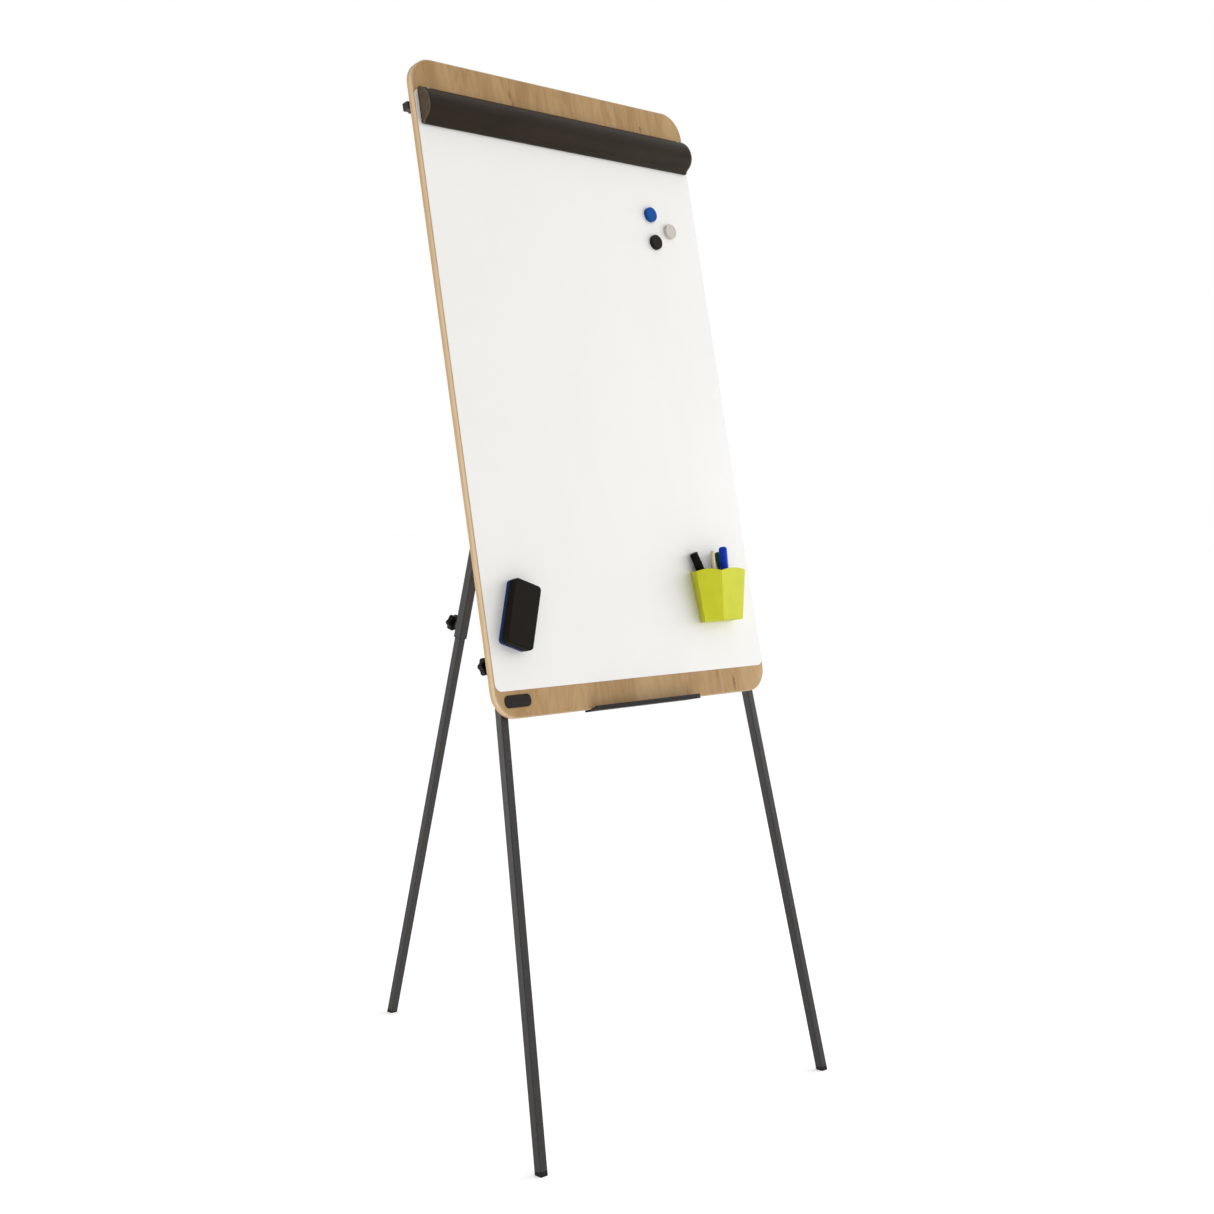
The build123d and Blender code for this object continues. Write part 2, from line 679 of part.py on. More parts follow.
front_leg_tube_left = outer_tube(left_leg, FRONT_SLEEVE, FRONT_TOP)
front_leg_tube_left.label = "front_leg_tube_left"
export_step(front_leg_tube_left, "parts/front_leg_tube_left.step")

front_leg_tube_right = outer_tube(right_leg, FRONT_SLEEVE, FRONT_TOP)
front_leg_tube_right.label = "front_leg_tube_right"
export_step(front_leg_tube_right, "parts/front_leg_tube_right.step")

rear_leg_tube = outer_tube(rear_leg, REAR_SLEEVE, -HEAD_BELOW_HINGE)
rear_leg_tube.label = "rear_leg_tube"
export_step(rear_leg_tube, "parts/rear_leg_tube.step")

front_leg_bushes = Compound(children=[bush(left_leg, FRONT_SLEEVE), bush(right_leg, FRONT_SLEEVE)])
front_leg_bushes.label = "front_leg_bushes"
export_step(front_leg_bushes, "parts/front_leg_bushes.step")

rear_leg_bush = bush(rear_leg, REAR_SLEEVE)
rear_leg_bush.label = "rear_leg_bush"
export_step(rear_leg_bush, "parts/rear_leg_bush.step")

front_clamp_nuts = Compound(children=[clamp_nut(left_leg, FRONT_SLEEVE), clamp_nut(right_leg, FRONT_SLEEVE)])
front_clamp_nuts.label = "front_clamp_nuts"
export_step(front_clamp_nuts, "parts/front_clamp_nuts.step")

rear_clamp_nut = clamp_nut(rear_leg, REAR_SLEEVE)
rear_clamp_nut.label = "rear_clamp_nut"
export_step(rear_clamp_nut, "parts/rear_clamp_nut.step")

TOP_CAP = 3
TOP_CAP_SPIGOT = 12

with BuildPart() as front_leg_top_caps:
    for side in (-1, 1):
        with BuildSketch(front_leg(side, FRONT_TOP)):
            RectangleRounded(OUTER_TUBE, OUTER_TUBE, 2)
        extrude(amount=TOP_CAP)
        with BuildSketch(front_leg(side, FRONT_TOP)):
            RectangleRounded(OUTER_HOLE, OUTER_HOLE, 0.8)
        extrude(amount=-TOP_CAP_SPIGOT)
front_leg_top_caps.part.label = "front_leg_top_caps"
export_step(front_leg_top_caps.part, "parts/front_leg_top_caps.step")

FOOT_HEIGHT = 6.5                  # from the floor up the leg's axis to the tube's end
FOOT_SPIGOT = 18
PLUG_LENGTH = 15
PLUG_SPIGOT = 12
KNOB_START = 18.5
KNOB_DEPTH = 16
KNOB_HUB = 3.5
KNOB_RADIUS = 17
KNOB_WAIST = 14.2
KNOB_LOBE = 5.5

for name, (leg, sleeve, floor_end) in LEGS.items():
    tube_low = floor_end + FOOT_HEIGHT
    tube_high = sleeve + OVERLAP

    with BuildPart() as inner_leg_tube:
        with BuildSketch(leg(tube_low)):
            RectangleRounded(INNER_TUBE, INNER_TUBE, 1.5)
            RectangleRounded(INNER_HOLE, INNER_HOLE, 0.5, mode=Mode.SUBTRACT)
        extrude(amount=tube_high - tube_low)
    inner_leg_tube.part.label = f"inner_leg_tube_{name}"
    export_step(inner_leg_tube.part, f"parts/inner_leg_tube_{name}.step")

    with BuildPart() as foot:
        with BuildSketch(leg(tube_low)):
            RectangleRounded(INNER_TUBE, INNER_TUBE, 1.5)
        extrude(amount=-2 * FOOT_HEIGHT)
        split(bisect_by=Plane.XY, keep=Keep.TOP)
        with BuildSketch(leg(tube_low)):
            RectangleRounded(INNER_HOLE, INNER_HOLE, 0.5)
        extrude(amount=FOOT_SPIGOT)
    foot.part.label = f"foot_{name}"
    export_step(foot.part, f"parts/foot_{name}.step")

    with BuildPart() as guide_plug:
        with BuildSketch(leg(tube_high)):
            RectangleRounded(OUTER_HOLE - 2 * SLIDE_GAP, OUTER_HOLE - 2 * SLIDE_GAP, 0.9)
        extrude(amount=PLUG_LENGTH)
        with BuildSketch(leg(tube_high)):
            RectangleRounded(INNER_HOLE, INNER_HOLE, 0.5)
        extrude(amount=-PLUG_SPIGOT)
    guide_plug.part.label = f"guide_plug_{name}"
    export_step(guide_plug.part, f"parts/guide_plug_{name}.step")

    with BuildPart() as clamp_knob:
        with BuildSketch(stud_plane(leg, sleeve, KNOB_START)):
            Circle(7)
        extrude(amount=KNOB_HUB)
        with BuildSketch(stud_plane(leg, sleeve, KNOB_START + KNOB_HUB)):
            Circle(KNOB_WAIST)
            with PolarLocations(KNOB_RADIUS - KNOB_LOBE, 6):
                Circle(KNOB_LOBE)
        extrude(amount=KNOB_DEPTH - KNOB_HUB)
        rear_way = Axis((0, 0, 0), stud_plane(leg, sleeve, 0).z_dir)
        fillet(clamp_knob.faces().sort_by(rear_way)[-1].edges(), radius=1.5)
        with BuildSketch(stud_plane(leg, sleeve, INNER_TUBE / 2 + 0.3)):
            Circle(STUD_RADIUS)
        extrude(amount=KNOB_START - INNER_TUBE / 2)
    clamp_knob.part.label = f"clamp_knob_{name}"
    export_step(clamp_knob.part, f"parts/clamp_knob_{name}.step")

# ---- Rear leg hinge: a bracket with two ears, a rivet pin and the leg's moulded head ----

EAR_IN = 10.6
EAR_OUT = EAR_IN + 2
EAR_ROUND = 9
HINGE_RADIUS = 3
HINGE_W = -HINGE_BACK
STOP_LOW = 1077.5
STOP_HIGH = 1083
STOP_W = -23.3
HEAD_ABOVE_HINGE = 14

with BuildPart() as leg_hinge_bracket:
    with BuildSketch(BOARD.offset(BACK)):
        with Locations((0, (BRACKET_LOW + BRACKET_HIGH) / 2)):
            RectangleRounded(2 * BRACKET_HALF, BRACKET_HIGH - BRACKET_LOW, 4)
    extrude(amount=-PLATE)
    for start in (-EAR_OUT, EAR_IN):
        with BuildSketch(across_board(start)):
            with BuildLine():
                Polyline(
                    (HINGE_UP - 14, BACK),
                    (HINGE_UP + 14, BACK),
                    (HINGE_UP + EAR_ROUND, HINGE_W),
                    (HINGE_UP - EAR_ROUND, HINGE_W),
                    close=True,
                )
            make_face()
            with Locations((HINGE_UP, HINGE_W)):
                Circle(EAR_ROUND)
                Circle(HINGE_RADIUS + SLIDE_GAP, mode=Mode.SUBTRACT)
        extrude(amount=EAR_OUT - EAR_IN)
    with BuildSketch(BOARD.offset(BACK)):
        with Locations((0, (STOP_LOW + STOP_HIGH) / 2)):
            Rectangle(18, STOP_HIGH - STOP_LOW)
    extrude(amount=STOP_W - BACK)
    with BuildSketch(BOARD.offset(BACK)):
        with Locations(*bracket_screws):
            Circle(SCREW_SHANK / 2)
    extrude(amount=-PLATE, mode=Mode.SUBTRACT)
leg_hinge_bracket.part.label = "leg_hinge_bracket"
export_step(leg_hinge_bracket.part, "parts/leg_hinge_bracket.step")

with BuildPart() as leg_hinge_pin:
    with BuildSketch(across_board(-EAR_OUT - 2.5)):
        with Locations((HINGE_UP, HINGE_W)):
            Circle(5.5)
    extrude(amount=2.5)
    with BuildSketch(across_board(EAR_OUT)):
        with Locations((HINGE_UP, HINGE_W)):
            Circle(5.5)
    extrude(amount=2.5)
    fillet(leg_hinge_pin.faces().sort_by(Axis.X)[0].edges(), radius=1.5)
    fillet(leg_hinge_pin.faces().sort_by(Axis.X)[-1].edges(), radius=1.5)
    with BuildSketch(across_board(-EAR_OUT)):
        with Locations((HINGE_UP, HINGE_W)):
            Circle(HINGE_RADIUS)
    extrude(amount=2 * EAR_OUT)
leg_hinge_pin.part.label = "leg_hinge_pin"
export_step(leg_hinge_pin.part, "parts/leg_hinge_pin.step")

with BuildPart() as rear_leg_hinge_head:
    with BuildSketch(rear_leg(-HEAD_BELOW_HINGE)):
        RectangleRounded(OUTER_TUBE, OUTER_TUBE, 2)
    extrude(amount=HEAD_BELOW_HINGE + HEAD_ABOVE_HINGE)
    with BuildSketch(rear_leg(-HEAD_BELOW_HINGE)):
        RectangleRounded(OUTER_HOLE, OUTER_HOLE, 0.8)
    extrude(amount=-30)
    with BuildSketch(REAR_SIDE.offset(-OUTER_TUBE)):
        Circle(HINGE_RADIUS + SLIDE_GAP)
    extrude(amount=2 * OUTER_TUBE, mode=Mode.SUBTRACT)
rear_leg_hinge_head.part.label = "rear_leg_hinge_head"
export_step(rear_leg_hinge_head.part, "parts/rear_leg_hinge_head.step")

# ---- Round magnets ----

MAGNETS = {"blue": (217.3, 962.1), "grey": (267.6, 932.2), "black": (221.2, 905.3)}

for colour, place in MAGNETS.items():
    with BuildPart() as magnet:
        with BuildSketch(BOARD.offset(ON_SHEET)):
            with Locations(place):
                Circle(MAGNET_RADIUS)
        extrude(amount=MAGNET_DEPTH)
        fillet(magnet.faces().sort_by(Axis(BOARD.origin, OUT))[-1].edges(), radius=1.5)
    magnet.part.label = f"magnet_{colour}"
    export_step(magnet.part, f"parts/magnet_{colour}.step")

# ---- Eraser: a block with a felt pad and a magnet between them ----

ERASER_PLACE = (-281.2, 176.1)
ERASER_TURN = -20.3
ERASER_WIDTH = 60.5
ERASER_LENGTH = 118
FELT_DEPTH = 8
ERASER_DEPTH = 24
ERASER_MAGNET = (16, 80, 3)

with BuildPart() as eraser_felt:
    with BuildSketch(BOARD.offset(ON_SHEET)):
        with Locations(ERASER_PLACE):
            RectangleRounded(ERASER_WIDTH - 1, ERASER_LENGTH - 1, 7.5, rotation=ERASER_TURN)
    extrude(amount=FELT_DEPTH)
eraser_felt.part.label = "eraser_felt"
export_step(eraser_felt.part, "parts/eraser_felt.step")

with BuildPart() as eraser_body:
    with BuildSketch(BOARD.offset(ON_SHEET + FELT_DEPTH)):
        with Locations(ERASER_PLACE):
            RectangleRounded(ERASER_WIDTH, ERASER_LENGTH, 8, rotation=ERASER_TURN)
    extrude(amount=ERASER_DEPTH - FELT_DEPTH)
    fillet(eraser_body.faces().sort_by(Axis(BOARD.origin, OUT))[-1].edges(), radius=2.5)
    with BuildSketch(BOARD.offset(ON_SHEET + FELT_DEPTH)):
        with Locations(ERASER_PLACE):
            Rectangle(ERASER_MAGNET[0], ERASER_MAGNET[1], rotation=ERASER_TURN)
    extrude(amount=ERASER_MAGNET[2], mode=Mode.SUBTRACT)
eraser_body.part.label = "eraser_body"
export_step(eraser_body.part, "parts/eraser_body.step")

with BuildPart() as eraser_magnet:
    with BuildSketch(BOARD.offset(ON_SHEET + FELT_DEPTH)):
        with Locations(ERASER_PLACE):
            Rectangle(ERASER_MAGNET[0], ERASER_MAGNET[1], rotation=ERASER_TURN)
    extrude(amount=ERASER_MAGNET[2])
eraser_magnet.part.label = "eraser_magnet"
export_step(eraser_magnet.part, "parts/eraser_magnet.step")

# ---- Pen cup: a flared five-sided cup with a ridge down its front ----

# half width at the back and at the front corners, depth, ridge height and ridge shift
CUP_BOTTOM = (44.4, 54.8, 21.4, 9, -11)
CUP_TOP = (53, 70.7, 32.2, 11, -10)
CUP_ARCH = 5


def cup_outline(height, wall=0):
    """Outline of the cup's section at a height, moved in by a wall thickness."""
    level = height / CUP_HEIGHT
    back_half, front_half, depth, ridge, shift = [
        low + (high - low) * level for low, high in zip(CUP_BOTTOM, CUP_TOP)
    ]
    Polygon(
        (-back_half, -ON_SHEET),
        (-front_half, -depth),
        (shift, -depth - ridge),
        (front_half, -depth),
        (back_half, -ON_SHEET),
    )
    if wall:
        offset(amount=-wall, kind=Kind.INTERSECTION, mode=Mode.REPLACE)


CUP_BLANK = CUP_HEIGHT + CUP_ARCH + 2
CUP_SPREAD = 75
RIM_V = CUP_V + CUP_HEIGHT
CUP_MAGNET = (60, 24, 1.2)
CUP_MAGNET_UP = 60

with BuildPart() as pen_cup:
    for height in (0, CUP_BLANK):
        with BuildSketch(level_on_board(CUP_U, CUP_V + height)):
            cup_outline(height)
    loft(ruled=True)
    for height in (CUP_WALL, CUP_BLANK + 1):
        with BuildSketch(level_on_board(CUP_U, CUP_V + height)):
            cup_outline(height, CUP_WALL)
    loft(ruled=True, mode=Mode.SUBTRACT)
    with BuildSketch(BOARD):
        with BuildLine():
            ridge_u = CUP_U + CUP_TOP[4]
            left_u = CUP_U - CUP_SPREAD
            right_u = CUP_U + CUP_SPREAD
            ThreePointArc((left_u, RIM_V), ((left_u + ridge_u) / 2, RIM_V + CUP_ARCH), (ridge_u, RIM_V))
            ThreePointArc((ridge_u, RIM_V), ((right_u + ridge_u) / 2, RIM_V + CUP_ARCH), (right_u, RIM_V))
            Polyline((right_u, RIM_V), (right_u, RIM_V + 30), (left_u, RIM_V + 30), (left_u, RIM_V))
        make_face()
    extrude(amount=60, mode=Mode.SUBTRACT)
    with BuildSketch(BOARD.offset(ON_SHEET)):
        with Locations((CUP_U, CUP_V + CUP_MAGNET_UP)):
            Rectangle(CUP_MAGNET[0], CUP_MAGNET[1])
    extrude(amount=CUP_MAGNET[2], mode=Mode.SUBTRACT)
pen_cup.part.label = "pen_cup"
export_step(pen_cup.part, "parts/pen_cup.step")

with BuildPart() as pen_cup_magnet:
    with BuildSketch(BOARD.offset(ON_SHEET)):
        with Locations((CUP_U, CUP_V + CUP_MAGNET_UP)):
            Rectangle(CUP_MAGNET[0], CUP_MAGNET[1])
    extrude(amount=CUP_MAGNET[2])
pen_cup_magnet.part.label = "pen_cup_magnet"
export_step(pen_cup_magnet.part, "parts/pen_cup_magnet.step")

# ---- Markers and a slim pen standing in the cup: axis through two board points, length, and
# the radius that rounds a cap's closed end ----

MARKERS = {
    "black": ((235.6, 145.2, 11.4), (197.6, 240.6, 11.7), 139.5, 2.5),
    "blue": ((254.6, 143.6, 13.8), (250.0, 243.0, 27.0), 140, 6),
    "green": ((272.0, 143.6, 11.8), (259.0, 242.1, 11.7), 133, 5),
}
CREAM_PEN = ((215.9, 142.9, 18.4), (216.1, 240.6, 28.8), 132.5)
CREAM_RADIUS = 4
NECK_RADIUS = 5.5
NECK_LENGTH = 22
NIB_RADIUS = 2.2
NIB_LENGTH = 8
CAP_SOLID = 12                     # closed end of a cap, beyond its bore


def pen_frame(foot, rim, distance=0):
    """Plane across a pen at a distance up its axis, from two points in the board frame."""
    start = board_point(*foot)
    along = (board_point(*rim) - start).normalized()
    return Plane(origin=start + along * distance, x_dir=along.cross(OUT), z_dir=along)


for colour, (foot_point, rim_point, length, round_end) in MARKERS.items():
    shoulder = length - CAP_LENGTH
    along = pen_frame(foot_point, rim_point).z_dir

    with BuildPart() as marker_barrel:
        with BuildSketch(pen_frame(foot_point, rim_point)):
            Circle(MARKER_RADIUS)
        extrude(amount=shoulder)
        chamfer(marker_barrel.faces().sort_by(Axis((0, 0, 0), along))[0].edges(), length=1)
        with BuildSketch(pen_frame(foot_point, rim_point, shoulder)):
            Circle(NECK_RADIUS)
        extrude(amount=NECK_LENGTH)
        with BuildSketch(pen_frame(foot_point, rim_point, shoulder + NECK_LENGTH)):
            Circle(NIB_RADIUS)
        extrude(amount=NIB_LENGTH)
        chamfer(marker_barrel.faces().sort_by(Axis((0, 0, 0), along))[-1].edges(), length=1.2)
    marker_barrel.part.label = f"marker_barrel_{colour}"
    export_step(marker_barrel.part, f"parts/marker_barrel_{colour}.step")

    with BuildPart() as marker_cap:
        with BuildSketch(pen_frame(foot_point, rim_point, shoulder)):
            Circle(CAP_RADIUS)
        extrude(amount=CAP_LENGTH)
        fillet(marker_cap.faces().sort_by(Axis((0, 0, 0), along))[-1].edges(), radius=round_end)
        with BuildSketch(pen_frame(foot_point, rim_point, shoulder)):
            Circle(NECK_RADIUS + SLIDE_GAP)
        extrude(amount=CAP_LENGTH - CAP_SOLID, mode=Mode.SUBTRACT)
    marker_cap.part.label = f"marker_cap_{colour}"
    export_step(marker_cap.part, f"parts/marker_cap_{colour}.step")

with BuildPart() as cream_pen:
    foot_point, rim_point, length = CREAM_PEN
    along = pen_frame(foot_point, rim_point).z_dir
    with BuildSketch(pen_frame(foot_point, rim_point)):
        Circle(CREAM_RADIUS)
    extrude(amount=length)
    fillet(cream_pen.faces().sort_by(Axis((0, 0, 0), along))[-1].edges(), radius=1.5)
    chamfer(cream_pen.faces().sort_by(Axis((0, 0, 0), along))[0].edges(), length=1)
cream_pen.part.label = "cream_pen"
export_step(cream_pen.part, "parts/cream_pen.step")
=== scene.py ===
"""Looks for the flipchart easel: procedural materials, floor, studio light and camera."""

import json
from math import cos, radians, sin

import bpy
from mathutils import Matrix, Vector


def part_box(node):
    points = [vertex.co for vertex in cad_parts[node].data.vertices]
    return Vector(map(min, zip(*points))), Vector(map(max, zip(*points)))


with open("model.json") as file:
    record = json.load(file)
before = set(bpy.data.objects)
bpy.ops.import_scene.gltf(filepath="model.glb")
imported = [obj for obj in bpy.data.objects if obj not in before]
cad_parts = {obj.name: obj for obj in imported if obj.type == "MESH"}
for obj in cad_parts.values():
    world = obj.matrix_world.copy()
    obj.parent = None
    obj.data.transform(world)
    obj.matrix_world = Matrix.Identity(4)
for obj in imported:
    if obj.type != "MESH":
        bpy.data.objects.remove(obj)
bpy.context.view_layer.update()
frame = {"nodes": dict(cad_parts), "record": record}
nodes = frame["nodes"]
record = frame["record"]

# ---- Board frame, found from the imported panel: depth is measured in from the front face ----

LEAN = radians(11.75)
BOARD_DEPTH = 0.016
panel_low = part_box("board_panel")[0]
front_z = panel_low[2] + BOARD_DEPTH * sin(LEAN)
FRONT_FACE = panel_low[1] * cos(LEAN) - front_z * sin(LEAN)


class Graph:
    """A material's node tree with short calls for what every material here needs."""

    def __init__(self, name, roughness, **sockets):
        self.material = bpy.data.materials.new(name)
        self.material.use_nodes = True
        self.tree = self.material.node_tree
        self.shader = self.tree.nodes["Principled BSDF"]
        self.shader.inputs["Roughness"].default_value = roughness
        for socket, value in sockets.items():
            self.shader.inputs[socket.replace("_", " ")].default_value = value

    def add(self, kind, inputs=None, **settings):
        node = self.tree.nodes.new("ShaderNode" + kind)
        for key, value in settings.items():
            setattr(node, key, value)
        for key, value in (inputs or {}).items():
            if isinstance(value, bpy.types.NodeSocket):
                self.tree.links.new(value, node.inputs[key])
            else:
                node.inputs[key].default_value = value
        return node

    def place(self, scale=(1, 1, 1), turn=(LEAN, 0, 0)):
        """Object coordinates turned upright with the board, then stretched."""
        coords = self.add("TexCoord").outputs["Object"]
        turned = self.add("Mapping", {"Vector": coords, "Rotation": turn}).outputs["Vector"]
        return self.add("VectorMath", {0: turned, 1: scale}, operation="MULTIPLY").outputs["Vector"]

    def noise(self, vector, scale, detail=3, rough=0.5, distortion=0):
        inputs = {"Vector": vector, "Scale": scale, "Detail": detail, "Roughness": rough}
        inputs["Distortion"] = distortion
        return self.add("TexNoise", inputs).outputs["Fac"]

    def ramp(self, factor, stops):
        node = self.add("ValToRGB", {"Fac": factor})
        elements = node.color_ramp.elements
        while len(elements) < len(stops):
            elements.new(0.5)
        for element, (position, colour) in zip(elements, stops):
            element.position = position
            element.color = (*colour, 1)
        return node.outputs["Color"]

    def span(self, factor, low, high, start=0, end=1):
        """Maps start..end of a factor to low..high."""
        inputs = {"Value": factor, "From Min": start, "From Max": end, "To Min": low, "To Max": high}
        return self.add("MapRange", inputs).outputs["Result"]

    def math(self, operation, first, second=0.0):
        return self.add("Math", {0: first, 1: second}, operation=operation).outputs[0]

    def mix(self, factor, first, second, blend="MIX"):
        node = self.add("Mix", data_type="RGBA", blend_type=blend)
        for socket, value in (("Factor_Float", factor), ("A_Color", first), ("B_Color", second)):
            target = next(item for item in node.inputs if item.identifier == socket)
            if isinstance(value, bpy.types.NodeSocket):
                self.tree.links.new(value, target)
            elif socket == "Factor_Float":
                target.default_value = value
            else:
                target.default_value = (*value, 1)
        return next(item for item in node.outputs if item.identifier == "Result_Color")

    def edges(self, radius):
        """Rounded normal and a mask that is bright along sharp edges."""
        rounded = self.add("Bevel", {"Radius": radius}, samples=4).outputs["Normal"]
        flat = self.add("NewGeometry").outputs["True Normal"]
        same = self.add("VectorMath", {0: rounded, 1: flat}, operation="DOT_PRODUCT").outputs["Value"]
        mask = self.span(same, 1, 0, 0.8, 1)
        return rounded, mask

    def bump(self, height, distance, strength=1.0, normal=None):
        inputs = {"Height": height, "Distance": distance, "Strength": strength}
        if normal is not None:
            inputs["Normal"] = normal
        return self.add("Bump", inputs).outputs["Normal"]

    def set(self, socket, value):
        self.tree.links.new(value, self.shader.inputs[socket])


# ---- Wood ----

OAK_DARK = (0.34, 0.20, 0.082)
OAK_MIDDLE = (0.425, 0.267, 0.118)
OAK_LIGHT = (0.50, 0.337, 0.165)
KNOT = (0.13, 0.065, 0.025)
PLANK = 0.117
GRAIN_STRETCH = 0.22
FIBRE_STRETCH = 0.05
KNOT_SQUEEZE = (1, 0, 0.32)
KNOTS = (  # place on the upright board, width and strength
    ((-0.118, 0.0, 1.812), 0.0045, 0.55),
    ((-0.112, 0.0, 1.795), 0.003, 0.5),
    ((0.229, 0.0, 1.800), 0.0028, 0.8),
    ((0.258, 0.0, 0.6746), 0.006, 0.6),
    ((0.213, 0.0, 0.6974), 0.004, 0.35),
)


def oak_figure(graph):
    """Oak colour, grain tone and pores, with the grain running up the board."""
    upright = graph.place()
    across = graph.add("SeparateXYZ", {0: upright}).outputs["X"]
    plank = graph.math("FLOOR", graph.math("DIVIDE", across, PLANK))
    tone = graph.add("TexWhiteNoise", {"W": plank}, noise_dimensions="1D").outputs["Value"]
    shift = graph.add("CombineXYZ", {"X": tone, "Z": graph.math("MULTIPLY", tone, 7.0)}).outputs[0]
    own = graph.add("VectorMath", {0: upright, 1: shift}, operation="ADD").outputs[0]
    squeeze = (1, 1, GRAIN_STRETCH)
    stretched = graph.add("VectorMath", {0: own, 1: squeeze}, operation="MULTIPLY").outputs[0]
    drift = graph.noise(stretched, 11, 3, 0.55, 1.2)
    figure = graph.noise(stretched, 38, 5, 0.62, 2.2)
    fibres = graph.noise(graph.place((1, 1, FIBRE_STRETCH)), 520, 3, 0.6)
    parts = ((drift, 0.5), (figure, 0.42), (fibres, 0.16), (tone, 0.10))
    grain = graph.math("SUBTRACT", 0.5, 0.5 * sum(weight for _, weight in parts))
    for part, weight in parts:
        grain = graph.math("ADD", grain, graph.math("MULTIPLY", part, weight))
    colour = graph.ramp(grain, [(0.36, OAK_DARK), (0.5, OAK_MIDDLE), (0.66, OAK_LIGHT)])
    ragged = graph.math("SUBTRACT", graph.noise(upright, 150, 2, 0.5), 0.5)
    for place, width, strength in KNOTS:
        away = graph.add("VectorMath", {0: upright, 1: place}, operation="SUBTRACT").outputs[0]
        oval = graph.add("VectorMath", {0: away, 1: KNOT_SQUEEZE}, operation="MULTIPLY").outputs[0]
        reach = graph.add("VectorMath", {0: oval}, operation="LENGTH").outputs["Value"]
        reach = graph.math("ADD", reach, graph.math("MULTIPLY", ragged, width))
        knot = graph.span(reach, strength, 0, width * 0.3, width)
        colour = graph.mix(knot, colour, KNOT)
    pores = graph.span(fibres, 0, 1, 0.3, 0.52)
    return colour, grain, pores


def oak_board():
    graph = Graph("oak_board", 0.5, Specular_IOR_Level=0.2)
    colour, grain, pores = oak_figure(graph)
    graph.set("Base Color", colour)
    graph.set("Roughness", graph.span(grain, 0.58, 0.42, 0.3, 0.8))
    graph.set("Normal", graph.bump(pores, 0.00012, 0.6))
    return graph.material


EDGE_TAN = (0.60, 0.41, 0.225)
EDGE_LIGHT = (0.70, 0.52, 0.315)
EDGE_LINE = (0.50, 0.37, 0.23)
EDGE_STRIPES = (  # colours through the board, from its face to its back
    (0.0, EDGE_LINE),
    (0.07, EDGE_LINE),
    (0.13, EDGE_LIGHT),
    (0.5, EDGE_LIGHT),
    (0.62, EDGE_TAN),
    (1.0, EDGE_TAN),
)


def oak_edging():
    """Edge band: a light front stripe, a tan rear stripe and a thin darker line by the face."""
    graph = Graph("oak_edging", 0.45, Specular_IOR_Level=0.15)
    into = graph.add("SeparateXYZ", {0: graph.place()}).outputs["Y"]
    depth = graph.math("DIVIDE", graph.math("SUBTRACT", into, FRONT_FACE), BOARD_DEPTH)
    wander = graph.math("SUBTRACT", graph.noise(graph.place((1, 1, 0.2)), 30, 2), 0.5)
    depth = graph.math("ADD", depth, graph.math("MULTIPLY", wander, 0.12))
    stripes = graph.ramp(depth, EDGE_STRIPES)
    fibres = graph.noise(graph.place((1, 1, 0.03)), 420, 4, 0.6)
    shade = graph.ramp(fibres, [(0.3, (0.86, 0.84, 0.82)), (0.65, (1.04, 1.03, 1.02))])
    graph.set("Base Color", graph.mix(1.0, stripes, shade, "MULTIPLY"))
    graph.set("Roughness", graph.span(fibres, 0.5, 0.38, 0.3, 0.7))
    graph.set("Normal", graph.bump(fibres, 0.00008, 0.5))
    return graph.material


def cream_wood():
    graph = Graph("cream_wood", 0.42, Specular_IOR_Level=0.5)
    fibres = graph.noise(graph.place((1, 1, 0.05)), 900, 3, 0.6)
    graph.set("Base Color", graph.ramp(fibres, [(0.3, (0.55, 0.40, 0.24)), (0.7, (0.78, 0.63, 0.43))]))
    graph.set("Normal", graph.bump(fibres, 0.00006, 0.4))
    return graph.material


# ---- Painted and bare metal ----


def white_enamel():
    """Glossy whiteboard enamel with faint wiping marks and a slight orange peel."""
    graph = Graph("white_enamel", 0.3, Coat_Weight=0.25, Coat_Roughness=0.12)
    wiped = graph.noise(graph.place((1, 1, 0.35)), 7, 5, 0.62, 0.8)
    colour = graph.ramp(wiped, [(0.2, (0.825, 0.815, 0.785)), (0.8, (0.845, 0.835, 0.805))])
    graph.set("Base Color", colour)
    graph.set("Roughness", graph.span(wiped, 0.26, 0.38, 0.2, 0.8))
    graph.set("Normal", graph.bump(graph.noise(graph.place(), 420, 2), 0.00002, 0.25))
    return graph.material


def powder_coat(name, dark, light, gloss):
    """Satin powder coat: mottled warm grey-black with a fine grain, its arrises painted lighter as a
    patchy edge highlight.
    """
    graph = Graph(name, 0.42, Specular_IOR_Level=gloss)
    mottle = graph.noise(graph.place(), 160, 4, 0.6)
    grain = graph.noise(graph.place(), 2600, 2, 0.5)
    base = graph.ramp(mottle, [(0.32, dark), (0.68, light)])
    rounded, mask = graph.edges(0.0012)
    # Painted highlight: sharp edges are mixed towards a lighter grey, in patches set by the mottle.
    painted_edge_highlight = graph.math("MULTIPLY", mask, graph.span(mottle, 0.0, 0.5, 0.45, 0.7))
    graph.set("Base Color", graph.mix(painted_edge_highlight, base, (0.10, 0.095, 0.09)))
    graph.set("Roughness", graph.span(mottle, 0.36, 0.5, 0.3, 0.7))
    graph.set("Normal", graph.bump(grain, 0.00004, 0.55, rounded))
    return graph.material


